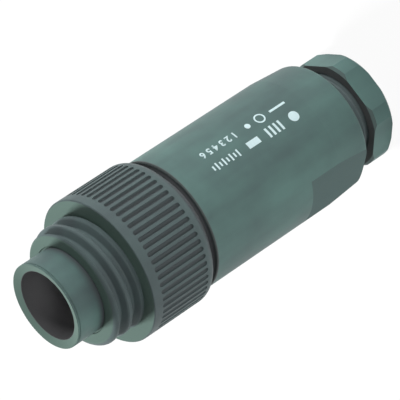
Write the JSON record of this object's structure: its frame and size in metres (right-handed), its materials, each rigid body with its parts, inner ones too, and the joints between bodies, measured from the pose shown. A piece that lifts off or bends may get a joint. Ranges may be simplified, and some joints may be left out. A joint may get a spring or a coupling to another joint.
{
  "type": "circular cable connector",
  "caption": "Round plastic cable connector with a knurled screw coupling ring, recessed contact pins, a long sleeve and a hexagon cable gland nut.",
  "frame": {"origin": "centre of the clamp nut's rear face, on the connector's axis", "axes": "+Z along the axis towards the mating end, +X square to a wrench flat of the sleeve"},
  "size_m": [0.0298, 0.0298, 0.0805],
  "materials": {
    "moulded_plastic": "satin moulded, dark teal grey",
    "seal_rubber": "matt black",
    "contact_metal": "plated, bright",
    "screw_steel": "plated"
  },
  "bodies": {
    "housing": {"sleeve": "moulded_plastic", "contact_insert": "moulded_plastic", "insert_seal": "seal_rubber", "gland_seal": "seal_rubber", "earth_pin": "contact_metal", "contact_pin_1": "contact_metal", "contact_pin_2": "contact_metal", "contact_pin_3": "contact_metal", "contact_pin_4": "contact_metal", "contact_pin_5": "contact_metal", "contact_pin_6": "contact_metal", "terminal_screw_1": "screw_steel", "terminal_screw_2": "screw_steel", "terminal_screw_3": "screw_steel", "terminal_screw_4": "screw_steel", "terminal_screw_5": "screw_steel", "terminal_screw_6": "screw_steel", "terminal_screw_7": "screw_steel"},
    "coupling_ring": {"coupling_ring": "moulded_plastic"},
    "clamp_ring": {"clamp_ring": "moulded_plastic"},
    "clamp_nut": {"clamp_nut": "moulded_plastic"}
  },
  "joints": [
    {"name": "ring_turn", "type": "hinge", "parent": "housing", "child": "coupling_ring", "pos_m": [0, 0, 0.0595], "axis": [0, 0, 1], "continuous": true},
    {"name": "gland_slide", "type": "slide", "parent": "housing", "child": "clamp_ring", "axis": [0, 0, 1], "range_m": [-0.00151, 0.00151], "deforming": ["gland_seal"]},
    {"name": "nut_turn", "type": "hinge", "parent": "clamp_ring", "child": "clamp_nut", "pos_m": [0, 0, 0.0025], "axis": [0, 0, 1], "range_deg": [-360, 360]}
  ],
  "couplings": [
    {"joint": "gland_slide", "follows": "nut_turn", "m_per_rad": 0.00023873}
  ]
}
